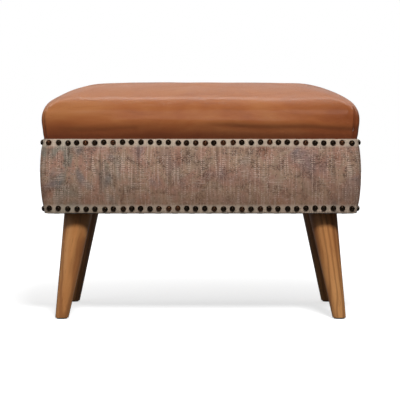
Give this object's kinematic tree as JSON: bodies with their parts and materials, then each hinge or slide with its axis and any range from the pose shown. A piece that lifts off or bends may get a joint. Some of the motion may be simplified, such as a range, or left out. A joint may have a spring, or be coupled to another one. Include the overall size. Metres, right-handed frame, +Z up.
{
  "type": "upholstered footstool",
  "caption": "Rectangular footstool with a crowned leather seat, a woven side band edged with domed nails, and splayed round tapered legs.",
  "frame": {"origin": "on the floor, under the middle of the seat", "axes": "+X along the long side to the right as seen from the front, +Y to the back, +Z up"},
  "size_m": [0.6, 0.4, 0.445],
  "materials": {
    "tan_leather": "satin",
    "faded_weave": "matte",
    "antique_bronze": "satin",
    "oiled_oak": "satin",
    "softwood": "matte",
    "plywood": "matte",
    "zinc_steel": "satin",
    "glide_plastic": "matte",
    "black_cambric": "matte",
    "foam": "matte",
    "wadding": "matte"
  },
  "bodies": {
    "root": {"back_pad": "wadding", "back_rail": "softwood", "block_screws": "zinc_steel", "corner_block_back_left": "softwood", "corner_block_back_right": "softwood", "corner_block_front_left": "softwood", "corner_block_front_right": "softwood", "cross_brace": "softwood", "deck_screws": "zinc_steel", "dust_cover": "black_cambric", "foot_glides": "glide_plastic", "front_pad": "wadding", "front_rail": "softwood", "left_pad": "wadding", "left_rail": "softwood", "leg_bolts": "zinc_steel", "legs": "oiled_oak", "nails_back": "antique_bronze", "nails_front": "antique_bronze", "nails_left": "antique_bronze", "nails_right": "antique_bronze", "right_pad": "wadding", "right_rail": "softwood", "seat_cover": "tan_leather", "seat_deck": "plywood", "seat_foam": "foam", "seat_wadding": "wadding", "side_band": "faded_weave"}
  },
  "joints": []
}
